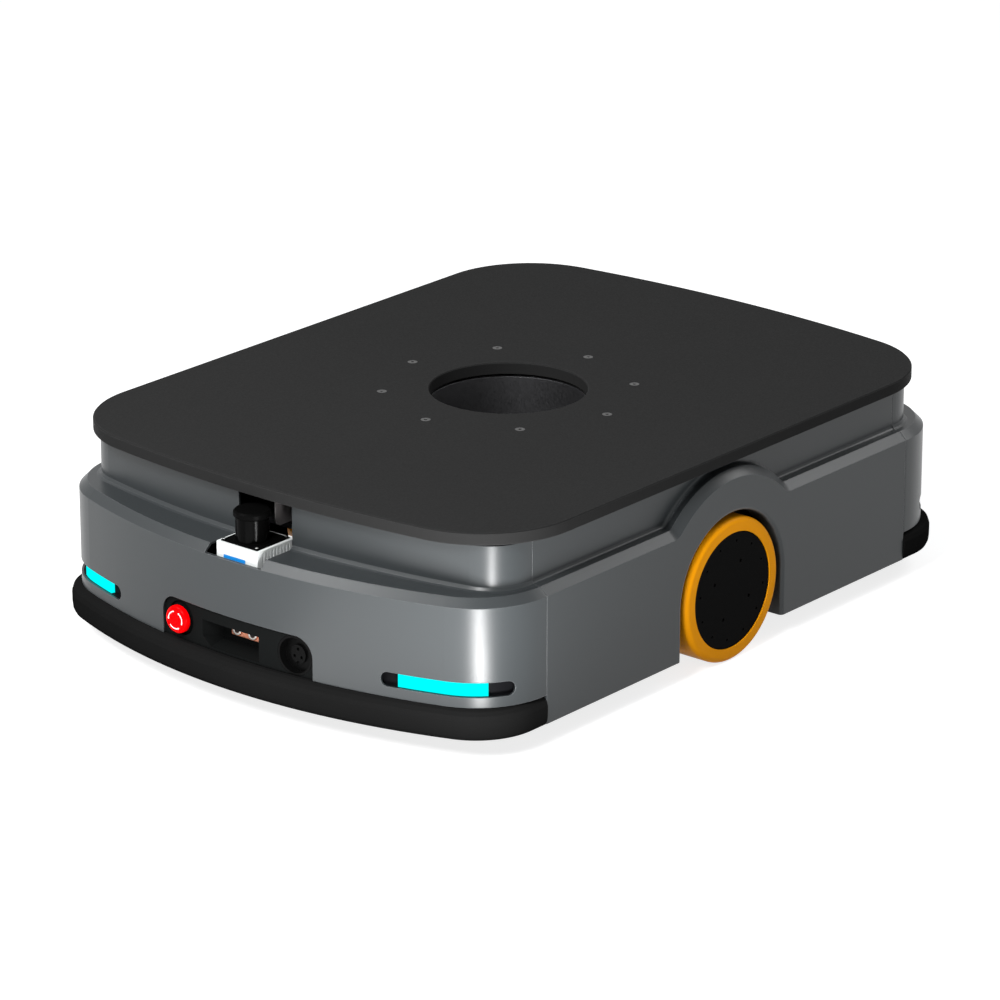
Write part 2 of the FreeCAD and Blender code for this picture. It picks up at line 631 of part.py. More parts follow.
def slew_pinion():
    """Pinion that drives the outer ring's teeth, on its motor's shaft."""
    z1 = SLEW_Z[1] - 3
    return pinion(SLEW_PINION_TEETH, SLEW_Z[0] + 1, z1, -SLEW_CENTRE, SHAFT_R, (FLANGE_Z[0] - 18, z1))


def slew_motor():
    """Gearmotor under the carriage flange's lobe, with its boss."""
    body = disc(SLEW_MOTOR_R, 130, FLANGE_Z[0] - JOIN, -SLEW_CENTRE, 0)
    return body.cut(disc(SHAFT_R + FIT, FLANGE_Z[0] - 19, 300, -SLEW_CENTRE, 0))


def load_plate():
    """Top plate with a wide centre hole and eight countersunk screw holes."""
    z0, z1 = PLATE_Z
    plate = plan_loft(PLATE, [(z0, 0.8), (z0 + 0.8, 0), (z1 - 1.5, 0), (z1, 1.5)])
    plate = plate.cut(disc(HOLE_R, z0 - 1, z1 + 1))
    bevel = Part.makeCone(HOLE_R, HOLE_R + 1.2, 1.2, V(0, 0, z1 - 1.2))
    plate = plate.cut(bevel)
    for x, y in screw_places():
        plate = plate.cut(disc(3.3, z0 - 1, z1 + 1, x, y))
        plate = plate.cut(Part.makeCone(3.3, 6.3, 3.0, V(x, y, z1 - 3.0)))
    return plate


def screw_places():
    """Centres of the plate's eight screws."""
    return [(SCREW_PCD_R * cos(k * pi / 4), SCREW_PCD_R * sin(k * pi / 4)) for k in range(8)]


def plate_screws():
    """Countersunk screws with hexagon sockets."""
    out = []
    for x, y in screw_places():
        head = Part.makeCone(3.0, 6.0, 3.0, V(x, y, PLATE_Z[1] - 3.1))
        shank = disc(3.0, PLATE_Z[0] + 0.1, PLATE_Z[1] - 3, x, y)
        hexagon = prism([(x + 2.2 * cos(a * pi / 3), y + 2.2 * sin(a * pi / 3)) for a in range(6)],
                        PLATE_Z[1] - 2.3, PLATE_Z[1] + 1)
        out.append(head.fuse(shank).cut(hexagon))
    return out


def camera_body():
    """Up-looking camera on the column's floor, with its lens barrel and light ring."""
    z0, z1 = FLOOR_Z[1] + JOIN, FLOOR_Z[1] + 12
    return fuse([disc(60, z0, z1), tube(42, 54, z1, z1 + 6), disc(20, z1, z1 + 16),
                 tube(14, 18, z1 + 16, z1 + 22)])


# ---- drive wheels and suspension ----------------------------------------------------------------
def revolve_y(points):
    """Turn (radius, y) points about the wheel's axle."""
    wire = Part.makePolygon([V(0, y, WHEEL_Z + r) for r, y in points + points[:1]])
    return Part.Face(wire).revolve(V(0, 0, WHEEL_Z), V(0, 1, 0), 360)


def tyre():
    """Cast polyurethane tread with a well rounded outer shoulder."""
    y0, y1 = TYRE_Y
    r = WHEEL_R
    tread = revolve_y([(CORE_R, y0 + 1), (r - 8, y0), (r, y0 + 5), (r, y1), (CORE_R, y1)])
    rim = [e for e in tread.Edges if abs(e.BoundBox.YMin - y1) < 0.01 and e.BoundBox.ZMax > 2 * r - 1]
    return tread.makeFillet(7.0, rim)


def hub():
    """Wheel core: rim, dished web and the stub that runs in the gearmotor."""
    y0, y1, r = TYRE_Y[0], CORE_Y, CORE_R - 0.1
    core = revolve_y([(AXLE_R, y0 + 6), (34, y0 + 6), (40, y0 + 18), (r - 11, y0 + 18), (r - 7, y0 + 2),
                      (r, y0 + 2), (r, y1), (r - 7, y1), (r - 11, y1 - 11), (40, y1 - 11), (34, y1),
                      (AXLE_R, y1)])
    return core.fuse(rod_y(AXLE_R, y0 - 30, y1, 0, WHEEL_Z)).removeSplitter()


def hub_cap():
    """Flat disc over the wheel core, with its rim screws and four inner screws."""
    face = TYRE_Y[1] - 1.2
    cap = rod_y(CORE_R - 0.4, CORE_Y + JOIN, face, 0, WHEEL_Z)
    cap = cap.makeFillet(0.8, [e for e in cap.Edges if abs(e.BoundBox.YMin - face) < 0.01])
    for count, r, size, turn in ((12, CORE_R - 11.5, 1.6, 0.13), (4, CORE_R - 36, 2.3, 0.45)):
        for k in range(count):
            a = turn + 2 * pi * k / count
            cap = cap.cut(rod_y(size, face - 2, face + 1, r * cos(a), WHEEL_Z + r * sin(a)))
    return cap


def gearmotor():
    """Drive gearmotor: gearbox flange, motor and encoder cap in one line."""
    y0, y1 = HOUSING_R + 10, TYRE_Y[0] + 4
    parts = [rod_y(MOTOR_R, y0 + 66, y1, 0, WHEEL_Z), rod_y(MOTOR_R - 4, y0 + 16, y0 + 66, 0, WHEEL_Z),
             rod_y(MOTOR_R - 10, y0, y0 + 16, 0, WHEEL_Z)]
    return fuse(parts).cut(rod_y(AXLE_R + FIT, TYRE_Y[0] - 31, 400, 0, WHEEL_Z))


def arm():
    """Cast trailing arm: pivot eye, motor clamp and spring pad."""
    y0, y1 = ARM_Y
    x, z = PIVOT
    ring_r = MOTOR_R + 9
    web = prism_y([(x + 4, z - 14), (x + 4, z + 14), (20, WHEEL_Z + ring_r - 5),
                   (-20, WHEEL_Z + ring_r - 3), (SPRING_X - 16, SPRING_Z[0] - 4),
                   (SPRING_X - 16, SPRING_Z[0] - 16), (-30, WHEEL_Z - ring_r + 3),
                   (30, WHEEL_Z - ring_r + 3)], y0, y1)
    eye = rod_y(PIN_R + 11, y0, y1, x, z)
    ring = rod_y(ring_r, y0, y1, 0, WHEEL_Z)
    pad = disc(17, SPRING_Z[0] - 12, SPRING_Z[0], SPRING_X, ARM_MID)
    stud = disc(STUD_R, SPRING_Z[0], SPRING_Z[0] + 8, SPRING_X, ARM_MID)
    body = fuse([web, eye, ring, pad, stud])
    above = box(SPRING_X - 25, SPRING_X + 29, y0 - 40, y1 + 40, SPRING_Z[0], 200)
    body = body.cut(above.cut(stud))
    return body.cut(rod_y(MOTOR_R + FIT, 200, 400, 0, WHEEL_Z)).cut(rod_y(PIN_R + FIT, 200, 400, x, z))


def suspension_brackets():
    """Clevis brackets on the floor with pressed pins for the arms."""
    x, z = PIVOT
    out = []
    for sy in (1, -1):
        plates = []
        for y in (ARM_Y[0] - 7, ARM_Y[1] + 1):
            plates += [prism_y([(x - 20, FLOOR_Z[1]), (x + 20, FLOOR_Z[1]), (x + 12, z + 12),
                                (x - 12, z + 12)], y, y + 6)]
        plates.append(rod_y(PIN_R, ARM_Y[0] - 7, ARM_Y[1] + 7, x, z))
        piece = fuse(plates)
        out.append(piece if sy > 0 else mirror_y(piece))
    return out


def spring():
    """Die spring of flat wire between the arm's pad and the tower."""
    z0, z1 = SPRING_Z[0] + 0.2, SPRING_Z[1] - 0.2
    turns, w, h, r = 4.5, 3.6, 3.2, 11.6
    rise = z1 - z0 - h
    helix = Part.makeHelix(rise / turns, rise, r)
    section = Part.makePolygon([V(r - w / 2, 0, -h / 2), V(r + w / 2, 0, -h / 2), V(r + w / 2, 0, h / 2),
                                V(r - w / 2, 0, h / 2), V(r - w / 2, 0, -h / 2)])
    coil = Part.Wire(helix).makePipeShell([section], True, True)
    coil.translate(V(SPRING_X, ARM_MID, z0 + h / 2))
    return coil


# ---- casters ------------------------------------------------------------------------------------
def caster_fork(x, y):
    """Swivel fork with its top bearing disc, stem, nut and axle; it trails towards the rear."""
    ax = x - TRAIL
    crown = (CROWN_Z, CROWN_Z + 6)
    nut_z = SHELF_Z + 6 + GAP
    nut = prism([(x + 15 * cos(a * pi / 3), y + 15 * sin(a * pi / 3)) for a in range(6)], nut_z, nut_z + 6)
    parts = [disc(27, crown[1], crown[1] + 9, x, y), disc(24, crown[1] + 9, SHELF_Z - GAP, x, y),
             disc(STEM_R, crown[1], nut_z + 8, x, y), nut]
    inside = CASTER_W / 2 + 2
    outside = inside + 4
    parts.append(box(ax - 14, x + 18, y - outside, y + outside, *crown))
    leg = [(ax - 14, crown[1]), (x + 18, crown[1]), (x + 12, CROWN_Z - 10), (ax + 12, CASTER_R - 10),
           (ax - 12, CASTER_R - 10), (ax - 20, 2 * CASTER_R - 15)]
    parts += [prism_y(leg, y - outside, y - inside), prism_y(leg, y + inside, y + outside)]
    parts.append(rod_y(CASTER_PIN_R, y - outside - 2, y + outside + 2, ax, CASTER_R))
    return fuse(parts)


def caster_wheel(x, y):
    """Solid caster wheel with a rounded tread and a hub bored for the axle."""
    ax = x - TRAIL
    w = CASTER_W / 2
    wheel = rod_y(CASTER_R, y - w, y + w, ax, CASTER_R)
    wheel = wheel.makeFillet(4.0, [e for e in wheel.Edges if e.BoundBox.YLength < 0.1])
    for s in (-1, 1):
        y0, y1 = sorted((y + s * (w - 3), y + s * (w + 1)))
        dish = rod_y(CASTER_R - 10, y0, y1, ax, CASTER_R).cut(rod_y(11, y0 - 1, y1 + 1, ax, CASTER_R))
        wheel = wheel.cut(dish)
    return wheel.cut(rod_y(CASTER_PIN_R + FIT, y - 20, y + 20, ax, CASTER_R))


# ---- control panel ------------------------------------------------------------------------------
def control_panel():
    """Curved black panel behind the cover: dish for the stop button, charging funnel, socket hole."""
    y0, y1 = PANEL_Y
    skin = plan_ring(LOWER, SKIN + JOIN, SKIN + 3.1, APRON_Z + GAP, PANEL_TOP + 8)
    panel = skin.common(box(440, 520, y0 - 8, y1 + 8, 0, 300))
    front = plan_prism(LOWER, SKIN + JOIN, 0, 300)
    dish = rod_x(23, DISH_X - 6.5, 520, *ESTOP).common(front)
    panel = panel.fuse(dish).cut(rod_x(21, DISH_X, 520, *ESTOP)).cut(rod_x(11.2, 400, 520, *ESTOP))
    outer = charging_funnel(FUNNEL_X - 4, 496, 2.5)
    inner = charging_funnel(FUNNEL_X, 496, 0)
    pocket = contact_room(CONTACT_X - 18, FUNNEL_X - 3, 4.0)
    seat = contact_room(CONTACT_X - JOIN, FUNNEL_X + 5, 0.2)
    panel = panel.fuse(outer.common(front)).cut(inner).fuse(pocket).cut(seat)
    panel = panel.cut(rod_x(SOCKET_R + 3, 440, 520, *SOCKET))
    below = box(400, 520, -200, 200, 0, APRON_Z + GAP)
    return panel.cut(below).removeSplitter()


def charging_funnel(x0, x1, room):
    """Tapered form that leads a charging head to the contacts, with room all round."""
    wires = []
    for x, (in_y, in_z), (clip_y, clip_z) in zip((x0, x1), (FUNNEL_DRAW, (0, 0)), FUNNEL_CLIPS):
        y0, y1 = FUNNEL_Y[0] + in_y - room, FUNNEL_Y[1] - in_y + room
        z0, z1 = FUNNEL_Z[0] + in_z - room, FUNNEL_Z[1] - in_z + room
        points = [(y0 + clip_y, z0), (y1, z0), (y1, z1), (y0, z1), (y0, z0 + clip_z), (y0 + clip_y, z0)]
        wires.append(Part.makePolygon([V(x, y, z) for y, z in points]))
    return Part.makeLoft(wires, True, True)


def contact_room(x0, x1, room):
    """The copper block's section with room all round, between two upright planes."""
    y, z = CONTACT
    half_y, half_z = [half + room for half in CONTACT_BLOCK]
    return box(x0, x1, y - half_y, y + half_y, z - half_z, z + half_z)


def charge_plate():
    """Copper charging block in the funnel with two raised round contacts and their screws' sockets."""
    y, z = CONTACT
    face = CONTACT_X + 14
    block = contact_room(CONTACT_X, face, 0)
    block = block.makeFillet(1.0, [e for e in block.Edges if e.BoundBox.XMin > face - 0.1])
    for s in (-1, 1):
        block = block.fuse(rod_x(7.2, face - 1, face + 1.2, y + s * CONTACT_Y, z))
        block = block.cut(rod_x(3.2, face - 0.5, face + 4, y + s * CONTACT_Y, z))
    return block


def charge_socket():
    """Round power socket: cup, keyed insert and pins' bores."""
    y, z = SOCKET
    x0, x1 = SOCKET_X
    cup = rod_x(SOCKET_R + 2.7, x0, 496, y, z).common(plan_prism(LOWER, SKIN + JOIN, 0, 300))
    cup = cup.cut(rod_x(SOCKET_R, x1, 500, y, z))
    insert = rod_x(11.5, x1 - 1, x1 + 3, y, z)
    for k in range(3):
        a = pi / 2 + 2 * pi * k / 3
        insert = insert.cut(rod_x(2.0, x1, x1 + 4, y + 6.2 * cos(a), z + 6.2 * sin(a)))
    key = box(x1 - 0.1, x1 + 4, y - 2, y + 2, z - 12, z - 9)
    return cup.fuse(insert).cut(key).removeSplitter()


def estop_body():
    """Stop button's threaded barrel, clamp ring and contact block."""
    y, z = ESTOP
    x = DISH_X
    parts = [rod_x(11, x - 16, x - JOIN, y, z), rod_x(17, x - 9.5, x - 6.6, y, z),
             box(x - 46, x - 16, y - 17, y + 17, z - 17, z + 17)]
    return fuse(parts).cut(rod_x(SHAFT_R + FIT, x - 34, 500, y, z))


def estop_plunger():
    """Stem that slides in the barrel, with the collar that carries the head."""
    y, z = ESTOP
    return rod_x(SHAFT_R, DISH_X - 26, HEAD_X + 1, y, z).fuse(rod_x(9, HEAD_X + 0.2, HEAD_X + 2.2, y, z))


def estop_head():
    """Red mushroom head, dished underneath and rounded in front."""
    y, z = ESTOP
    face = HEAD_X + 8.5
    head = rod_x(HEAD_R, HEAD_X, face, y, z)
    head = head.makeFillet(4.5, [e for e in head.Edges if e.BoundBox.XMin > face - 0.1])
    head = head.makeFillet(1.2, [e for e in head.Edges if e.BoundBox.XMax < HEAD_X + 0.1])
    return head.cut(rod_x(9.1, HEAD_X - 2, HEAD_X + 2.4, y, z))


# ---- scanner ------------------------------------------------------------------------------------
def scanner_base():
    """White ribbed housing with a clipped rear corner."""
    x, y = SCANNER
    h = SCANNER_HALF
    base = prism([(x - h + 5, y + h), (x + h, y + h), (x + h, y - h), (x - h, y - h), (x - h, y + h - 5)],
                 *SCAN_Z)
    base = base.makeFillet(1.5, [e for e in base.Edges if e.BoundBox.ZLength > 5 and e.BoundBox.XMin > x])
    for k in range(9):
        gx = x + (k - 4) * 5.5
        for gy in (y + h, y - h):
            base = base.cut(box(gx - 1.2, gx + 1.2, gy - 1.0, gy + 1.0, SCAN_Z[0] + 2, SCAN_Z[1] - 3))
    return base.cut(disc(SPINDLE_R + FIT, SCAN_Z[1] - 12, SCAN_Z[1] + 1, SCAN_HEAD_X, y))


def scanner_top():
    """Black lid on the housing, with four screws at its corners."""
    x, y = SCANNER
    h = SCANNER_HALF - 4
    z0 = SCAN_Z[1] + JOIN
    lid = box(x - h, x + h, y - h, y + h, z0, z0 + 1.2).fuse(disc(22, z0, z0 + 2.4, SCAN_HEAD_X, y))
    for sx, sy in CORNERS:
        lid = lid.fuse(disc(2.6, z0, z0 + 2.1, x + sx * (h - 3), y + sy * (h - 3)))
    return lid.cut(disc(SPINDLE_R + FIT, z0 - 1, z0 + 4, SCAN_HEAD_X, y)).removeSplitter()


def scanner_window():
    """Dark optical window, a thin drum open below."""
    y = SCANNER[1]
    r = SCAN_WINDOW_R
    z0 = SCAN_Z[1] + 2.6
    drum = disc(r, z0, SCAN_CAP_Z - JOIN, SCAN_HEAD_X, y)
    return drum.cut(disc(r - 2, z0 - 1, SCAN_CAP_Z - 2.6, SCAN_HEAD_X, y))


def scanner_cap():
    """Cap a little wider than the window, bevelled above and below."""
    y = SCANNER[1]
    r, z = SCAN_WINDOW_R + 2.25, SCAN_CAP_Z
    return fuse([Part.makeCone(r - 2, r, 2, V(SCAN_HEAD_X, y, z)), disc(r, z + 2, z + 6.9, SCAN_HEAD_X, y),
                 Part.makeCone(r, r - 2, 2, V(SCAN_HEAD_X, y, z + 6.9))])


def scanner_rotor():
    """Spinning optics head inside the window, on its spindle."""
    y = SCANNER[1]
    z0 = SCAN_Z[1] + 4.3
    drum = disc(SCAN_WINDOW_R - 5.75, z0, z0 + 21, SCAN_HEAD_X, y)
    spindle = disc(SPINDLE_R, SCAN_Z[1] - 11, z0, SCAN_HEAD_X, y)
    lens = rod_x(5, SCAN_HEAD_X + 8, SCAN_HEAD_X + 20, y, z0 + 13)
    return drum.fuse(spindle).cut(lens).removeSplitter()


def scanner_tray():
    """Shelf that carries the scanner on the frame's front wall."""
    x, y = SCANNER
    return box(END_X, x + SCANNER_HALF + 0.75, y - 43, y + 41, TRAY_Z, SCAN_Z[0] - JOIN)


def scanner_bracket():
    """Upright sheet behind the scanner, with a rounded lower corner, on the deck's edge."""
    y, t = 6.0, 2.0
    x0, x1, x2 = SCANNER[0] - 84, SCANNER[0] - 57, SCANNER[0] - 26
    low, top = DECK_Z[1] + FIT, COVER_TOP - 1
    sheet = box(x0, x1, y, y + t, low, top).fuse(box(x0, x2, y, y + t, top - 37, top))
    corner_edge = [e for e in sheet.Edges if e.BoundBox.YLength > 1
                   and abs(e.BoundBox.XMin - x2) < 0.1 and e.BoundBox.ZMax < top - 36]
    foot = box(x0, x1 - 1, y, y + 24, low, low + t)
    return sheet.makeFillet(8, corner_edge).fuse(foot).removeSplitter()


# ---- write every node ---------------------------------------------------------------------------
os.makedirs("parts", exist_ok=True)
save("cover_left", side_cover())
save("cover_right", mirror_y(side_cover()))
save("cover_front", front_cover())
save("cover_rear", rear_cover())
save("bumper_front", bumper(1))
save("bumper_rear", bumper(-1))
save("light_housings", light_housings())
save("light_bars", light_bars())
save("chassis_floor", chassis_floor())
save("chassis_frame", frame_plates() + bumper_beams() + spring_towers())
save("top_deck", top_deck())
save("battery_pack", battery_pack())
save("controller_box", controller_box())
save("guide_column", guide_column())
save("nut_housing", nut_housing())
save("lift_nut", lift_nut())
save("lift_pinion", lift_pinion())
save("lift_motor", lift_motor())
save("lift_carriage", lift_carriage())
save("slew_ring_inner", slew_ring_inner())
save("slew_ring_balls", slew_ring_balls())
save("slew_ring_outer", slew_ring_outer())
save("slew_pinion", slew_pinion())
save("slew_motor", slew_motor())
save("load_plate", load_plate())
save("plate_screws", plate_screws())
save("camera_body", camera_body())
save("control_panel", control_panel())
save("charge_plate", charge_plate())
save("charge_socket", charge_socket())
save("estop_body", estop_body())
save("estop_plunger", estop_plunger())
save("estop_head", estop_head())
save("scanner_base", scanner_base())
save("scanner_window", scanner_window())
save("scanner_covers", [scanner_top(), scanner_cap()])
save("scanner_rotor", scanner_rotor())
save("scanner_tray", scanner_tray())
save("scanner_bracket", scanner_bracket())
save("suspension_brackets", suspension_brackets())
for side, place in (("left", lambda s: s), ("right", mirror_y)):
    save("tyre_" + side, place(tyre()))
    save("hub_" + side, place(hub()))
    save("hub_cap_" + side, place(hub_cap()))
    save("gearmotor_" + side, place(gearmotor()))
    save("arm_" + side, place(arm()))
    save("spring_" + side, place(spring()))
for name, sx, sy in (("fl", 1, 1), ("fr", 1, -1), ("rl", -1, 1), ("rr", -1, -1)):
    save("caster_fork_" + name, caster_fork(sx * CASTER[0], sy * CASTER[1]))
    save("caster_wheel_" + name, caster_wheel(sx * CASTER[0], sy * CASTER[1]))
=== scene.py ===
"""Studio picture of a low mobile robot that lifts and turns trolleys. Metres, +X is forward."""

import bpy
from math import cos, pi, radians, sin
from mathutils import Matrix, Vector


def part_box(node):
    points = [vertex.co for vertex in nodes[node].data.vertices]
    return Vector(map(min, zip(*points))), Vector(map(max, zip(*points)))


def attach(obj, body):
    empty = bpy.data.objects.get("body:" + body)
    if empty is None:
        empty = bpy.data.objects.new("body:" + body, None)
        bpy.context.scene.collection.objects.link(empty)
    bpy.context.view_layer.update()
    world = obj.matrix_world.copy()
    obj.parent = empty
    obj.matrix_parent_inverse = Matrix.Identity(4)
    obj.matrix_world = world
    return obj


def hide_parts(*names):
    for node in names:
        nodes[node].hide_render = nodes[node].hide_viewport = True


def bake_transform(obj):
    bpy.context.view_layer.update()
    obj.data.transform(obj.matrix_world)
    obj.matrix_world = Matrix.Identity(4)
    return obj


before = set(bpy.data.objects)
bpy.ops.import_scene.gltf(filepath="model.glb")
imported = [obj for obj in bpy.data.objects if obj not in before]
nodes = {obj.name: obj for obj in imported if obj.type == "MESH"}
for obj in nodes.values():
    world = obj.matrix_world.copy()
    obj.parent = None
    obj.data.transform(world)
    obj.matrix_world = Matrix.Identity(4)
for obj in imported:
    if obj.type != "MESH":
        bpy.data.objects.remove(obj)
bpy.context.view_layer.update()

# ---- Camera -------------------------------------------------------------------------------------
# A long lens from the front left corner, a little above the plate. It sees the front with its
# controls, the left side with its drive wheel, and the whole load plate.
camera_turn = radians(39.96)
camera_rise = radians(20.03)
camera_data = bpy.data.cameras.new("studio_camera")
camera_data.lens = 183.05
camera_data.sensor_width = 36.0
camera = bpy.data.objects.new("studio_camera", camera_data)
bpy.context.scene.collection.objects.link(camera)
camera.location = (4.5058, 3.7622, 2.2630)
camera.rotation_euler = (pi / 2 - camera_rise, 0.0, camera_turn + pi / 2)
bpy.context.scene.camera = camera

# ---- Floor, world and lamps ---------------------------------------------------------------------
# A plain white studio, whose floor shows white wherever the robot does not shade it. Three softboxes
# hang round the robot, and a narrow strip on the floor puts an upright highlight on the near corner.
floor_mesh = bpy.data.meshes.new("studio_floor")
floor_mesh.from_pydata([(-30, -30, 0), (30, -30, 0), (30, 30, 0), (-30, 30, 0)], [], [(0, 1, 2, 3)])
floor = bpy.data.objects.new("studio_floor", floor_mesh)
bpy.context.scene.collection.objects.link(floor)


def seen_directly(tree):
    """1 where a ray comes from the camera or a mirror-like surface, else 0."""
    path = tree.nodes.new("ShaderNodeLightPath")
    total = path.outputs["Is Camera Ray"]
    for ray in ("Is Glossy Ray", "Is Transmission Ray"):
        either = tree.nodes.new("ShaderNodeMath")
        either.operation = "MAXIMUM"
        tree.links.new(total, either.inputs[0])
        tree.links.new(path.outputs[ray], either.inputs[1])
        total = either.outputs[0]
    return total


floor_white = bpy.data.materials.new("studio_floor_white")
floor_white.use_nodes = True
tree = floor_white.node_tree
tree.nodes.clear()
output = tree.nodes.new("ShaderNodeOutputMaterial")
lit = tree.nodes.new("ShaderNodeBsdfDiffuse")
floor_reflects, floor_glows = 0.45, 0.80
lit.inputs["Color"].default_value = (floor_reflects, floor_reflects, floor_reflects, 1)
glow = tree.nodes.new("ShaderNodeEmission")
share = tree.nodes.new("ShaderNodeMath")
share.operation = "MULTIPLY"
share.inputs[1].default_value = floor_glows
both = tree.nodes.new("ShaderNodeAddShader")
tree.links.new(seen_directly(tree), share.inputs[0])
tree.links.new(share.outputs[0], glow.inputs["Strength"])
tree.links.new(lit.outputs[0], both.inputs[0])
tree.links.new(glow.outputs[0], both.inputs[1])
tree.links.new(both.outputs[0], output.inputs[0])
floor_mesh.materials.append(floor_white)

world = bpy.data.worlds.new("studio_world")
bpy.context.scene.world = world
world.use_nodes = True
tree = world.node_tree
tree.nodes.clear()
output = tree.nodes.new("ShaderNodeOutputWorld")
room = tree.nodes.new("ShaderNodeBackground")
room.inputs["Color"].default_value = (0.96, 0.98, 1.0, 1)
room.inputs["Strength"].default_value = 0.30
white = tree.nodes.new("ShaderNodeBackground")
white.inputs["Strength"].default_value = 1.0
mix = tree.nodes.new("ShaderNodeMixShader")
tree.links.new(seen_directly(tree), mix.inputs[0])
tree.links.new(room.outputs[0], mix.inputs[1])
tree.links.new(white.outputs[0], mix.inputs[2])
tree.links.new(mix.outputs[0], output.inputs[0])


def panel_lamp(name, width, height, watts):
    """Rectangular lamp that isn't itself seen."""
    data = bpy.data.lights.new(name, "AREA")
    data.shape = "RECTANGLE"
    data.size = width
    data.size_y = height
    data.energy = watts
    lamp = bpy.data.objects.new(name, data)
    bpy.context.scene.collection.objects.link(lamp)
    lamp.visible_camera = False
    return lamp


robot_middle = Vector((0.0, 0.0, 0.13))


def softbox(name, turn, rise, distance, width, height, watts):
    """Panel lamp in a direction from the robot, facing it."""
    lamp = panel_lamp(name, width, height, watts)
    away = Vector((cos(turn) * cos(rise), sin(turn) * cos(rise), sin(rise)))
    lamp.location = robot_middle + away * distance
    lamp.rotation_euler = (-away).to_track_quat("-Z", "Y").to_euler()


softbox("key_softbox", radians(14), radians(38), 3.2, 0.9, 0.9, 90)
softbox("front_edge_softbox", radians(-34), radians(47), 2.6, 0.9, 1.1, 33)
softbox("side_edge_softbox", radians(154), radians(37), 2.6, 1.0, 1.0, 16)

# Two low lamps face up beside the front left corner, where they light the covers from below.
floor_strip = panel_lamp("floor_strip", 0.07, 0.50, 13.0)
floor_strip.location = (0.74, 0.61, 0.004)
floor_strip.rotation_euler = (pi, 0.0, radians(40) + pi / 2)
floor_panel = panel_lamp("floor_panel", 0.52, 0.50, 2.4)
floor_panel.location = (0.84, 0.20, 0.003)
floor_panel.rotation_euler = (pi, 0.0, 0.0)

# ---- Covers -------------------------------------------------------------------------------------
# Four pressed sheet covers, powder coated in a cool dark grey with a satin, slightly pebbled skin.
# They are screwed on from inside and meet at narrow seams. Their rounded edges catch light, and
# the outermost edge is also painted a lighter grey, a painted highlight.
def paint_shop(name, colour, roughness, metallic=0.0, sheen=0.5):
    """New material with its surface shader and node tree; sheen is its mirror-like share."""
    made = bpy.data.materials.new(name)
    made.use_nodes = True
    shader = made.node_tree.nodes["Principled BSDF"]
    shader.inputs["Base Color"].default_value = (*colour, 1)
    shader.inputs["Roughness"].default_value = roughness
    shader.inputs["Metallic"].default_value = metallic
    shader.inputs["Specular IOR Level"].default_value = sheen
    return made, made.node_tree, shader


def noise(tree, scale, detail=3.0, stretch=(1, 1, 1)):
    """Solid noise in the object's own metres, stretched along an axis if asked."""
    place = tree.nodes.new("ShaderNodeTexCoord")
    map_node = tree.nodes.new("ShaderNodeMapping")
    map_node.inputs["Scale"].default_value = stretch
    made = tree.nodes.new("ShaderNodeTexNoise")
    made.inputs["Scale"].default_value = scale
    made.inputs["Detail"].default_value = detail
    tree.links.new(place.outputs["Object"], map_node.inputs["Vector"])
    tree.links.new(map_node.outputs["Vector"], made.inputs["Vector"])
    return made.outputs["Fac"]


def spread(tree, value, low, high):
    """Remap a 0 to 1 value to the range from low to high."""
    made = tree.nodes.new("ShaderNodeMapRange")
    made.inputs["From Min"].default_value = 0.3
    made.inputs["From Max"].default_value = 0.7
    made.inputs["To Min"].default_value = low
    made.inputs["To Max"].default_value = high
    tree.links.new(value, made.inputs["Value"])
    return made.outputs["Result"]


def two_tone(tree, value, dark, light):
    """Blend two close colours by a value, for the slight unevenness of a real finish."""
    made = tree.nodes.new("ShaderNodeMix")
    made.data_type = "RGBA"
    made.inputs["A"].default_value = (*dark, 1)
    made.inputs["B"].default_value = (*light, 1)
    tree.links.new(value, made.inputs["Factor"])
    return made.outputs["Result"]


def relief(tree, shader, height, depth, edge=0.0):
    """Fine surface relief, with sharp edges rounded by edge metres."""
    bump = tree.nodes.new("ShaderNodeBump")
    bump.inputs["Distance"].default_value = depth
    bump.inputs["Strength"].default_value = 1.0
    tree.links.new(height, bump.inputs["Height"])
    if edge:
        rounding = tree.nodes.new("ShaderNodeBevel")
        rounding.samples = 6
        rounding.inputs["Radius"].default_value = edge
        tree.links.new(rounding.outputs["Normal"], bump.inputs["Normal"])
    tree.links.new(bump.outputs["Normal"], shader.inputs["Normal"])


def paint_edge_highlight(tree, shader, edge, colour):
    """Painted highlight: lighten the base colour at the outermost edge of a piece, standing in for light
    caught on that edge.
    """
    rounding = tree.nodes.new("ShaderNodeBevel")
    rounding.samples = 6
    rounding.inputs["Radius"].default_value = edge
    true_normal = tree.nodes.new("ShaderNodeNewGeometry")
    agree = tree.nodes.new("ShaderNodeVectorMath")
    agree.operation = "DOT_PRODUCT"
    tree.links.new(rounding.outputs["Normal"], agree.inputs[0])
    tree.links.new(true_normal.outputs["True Normal"], agree.inputs[1])
    edge_highlight_share = tree.nodes.new("ShaderNodeMapRange")
    edge_highlight_share.inputs["From Min"].default_value = 0.995
    edge_highlight_share.inputs["From Max"].default_value = 0.88
    tree.links.new(agree.outputs["Value"], edge_highlight_share.inputs["Value"])
    highlight_blend = tree.nodes.new("ShaderNodeMix")
    highlight_blend.data_type = "RGBA"
    highlight_blend.inputs["B"].default_value = (*colour, 1)
    under = shader.inputs["Base Color"].links[0].from_socket
    tree.links.new(under, highlight_blend.inputs["A"])
    tree.links.new(edge_highlight_share.outputs["Result"], highlight_blend.inputs["Factor"])
    tree.links.new(highlight_blend.outputs["Result"], shader.inputs["Base Color"])


def dress(made, *names):
    """Give CAD nodes this finish."""
    for name in names:
        for slot in nodes[name].material_slots:
            slot.material = made


